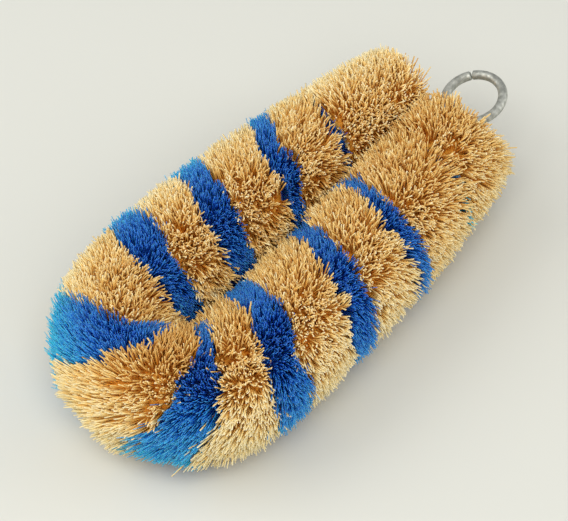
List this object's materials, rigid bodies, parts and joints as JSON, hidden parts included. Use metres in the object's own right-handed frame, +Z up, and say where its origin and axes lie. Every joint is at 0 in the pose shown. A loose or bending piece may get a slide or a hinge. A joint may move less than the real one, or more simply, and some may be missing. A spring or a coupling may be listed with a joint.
{
  "type": "scrubbing brush",
  "caption": "Tawashi hand brush of palm fibre and blue nylon bands on a twisted wire rod, folded double, tied, with a swinging steel ring to hang it by.",
  "frame": {"origin": "centre of the part's box, on the surface that the bristles rest on", "axes": "+X from the round bend towards the tied ends and the ring, +Z up from the surface"},
  "size_m": [0.196, 0.0908, 0.043],
  "materials": {
    "palm_fibre": "dry straw-coloured plant fibre, matt",
    "blue_nylon": "fine nylon bristle, slightly translucent",
    "galvanised_wire": "dull galvanised wire",
    "zinc_coated_steel": "mottled dull zinc grey"
  },
  "bodies": {
    "brush": {"natural_band_01": "palm_fibre", "natural_band_02": "palm_fibre", "natural_band_03": "palm_fibre", "natural_band_04": "palm_fibre", "natural_band_05": "palm_fibre", "natural_band_06": "palm_fibre", "natural_band_07": "palm_fibre", "natural_band_08": "palm_fibre", "natural_band_09": "palm_fibre", "natural_band_10": "palm_fibre", "natural_band_11": "palm_fibre", "blue_band_01": "blue_nylon", "blue_band_02": "blue_nylon", "blue_band_03": "blue_nylon", "blue_band_04": "blue_nylon", "blue_band_05": "blue_nylon", "blue_band_06": "blue_nylon", "blue_band_07": "blue_nylon", "blue_band_08": "blue_nylon", "blue_band_09": "blue_nylon", "blue_band_10": "blue_nylon", "core_wire_a": "galvanised_wire", "core_wire_b": "galvanised_wire", "binding_wire": "galvanised_wire", "wire_eye": "galvanised_wire"},
    "ring": {"hanging_ring": "zinc_coated_steel"}
  },
  "joints": [
    {"name": "ring_swing", "type": "hinge", "parent": "brush", "child": "ring", "pos_m": [0.07818, -0.00052, 0.0195], "axis": [-0.454, -0.891, 0], "range_deg": [-76, 56]}
  ]
}
